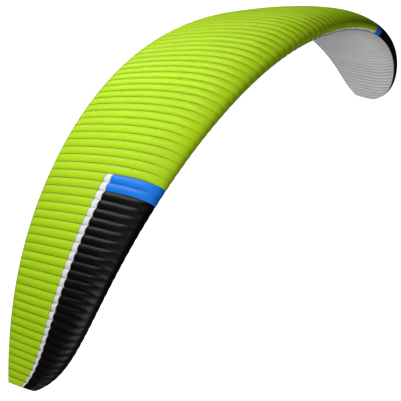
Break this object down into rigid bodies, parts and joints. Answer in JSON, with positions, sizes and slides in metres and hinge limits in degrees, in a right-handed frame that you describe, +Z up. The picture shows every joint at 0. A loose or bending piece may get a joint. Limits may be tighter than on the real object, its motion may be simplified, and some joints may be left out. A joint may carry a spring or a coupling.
{
  "type": "paraglider wing",
  "caption": "Arched ram-air paraglider canopy in flight, with a green upper sail, a white lower sail, dark nose panels towards the tips and air intakes under the nose.",
  "frame": {"origin": "on the underside of the middle cell, 30 percent of the chord behind the nose, where the lines would gather the load", "axes": "+X along the span to the wing's left-hand tip, -Y towards the nose, +Z up"},
  "size_m": [10.3892, 2.3761, 3.3001],
  "materials": {
    "cloth_green": "coated ripstop nylon, lime green",
    "cloth_black": "coated ripstop nylon, black, slightly glossy",
    "cloth_white": "coated ripstop nylon, white",
    "cloth_blue": "coated ripstop nylon, blue"
  },
  "bodies": {
    "root": {"upper_sail_centre": "cloth_green", "lower_sail_centre": "cloth_white", "upper_sail_tip_right": "cloth_green", "lower_sail_tip_right": "cloth_white", "band_tip_right": "cloth_white", "nose_tip_right": "cloth_black", "upper_sail_outer_right": "cloth_green", "lower_sail_outer_right": "cloth_white", "band_outer_right": "cloth_white", "nose_outer_right": "cloth_black", "upper_sail_mid_right": "cloth_green", "lower_sail_mid_right": "cloth_white", "band_mid_right": "cloth_white", "nose_mid_right": "cloth_black", "upper_sail_inner_right": "cloth_green", "lower_sail_inner_right": "cloth_white", "upper_sail_root_right": "cloth_green", "lower_sail_root_right": "cloth_white", "accent_right": "cloth_blue", "tip_right": "cloth_white", "upper_sail_tip_left": "cloth_green", "lower_sail_tip_left": "cloth_white", "band_tip_left": "cloth_white", "nose_tip_left": "cloth_black", "upper_sail_outer_left": "cloth_green", "lower_sail_outer_left": "cloth_white", "band_outer_left": "cloth_white", "nose_outer_left": "cloth_black", "upper_sail_mid_left": "cloth_green", "lower_sail_mid_left": "cloth_white", "band_mid_left": "cloth_white", "nose_mid_left": "cloth_black", "upper_sail_inner_left": "cloth_green", "lower_sail_inner_left": "cloth_white", "upper_sail_root_left": "cloth_green", "lower_sail_root_left": "cloth_white", "accent_left": "cloth_blue", "tip_left": "cloth_white"}
  },
  "joints": []
}
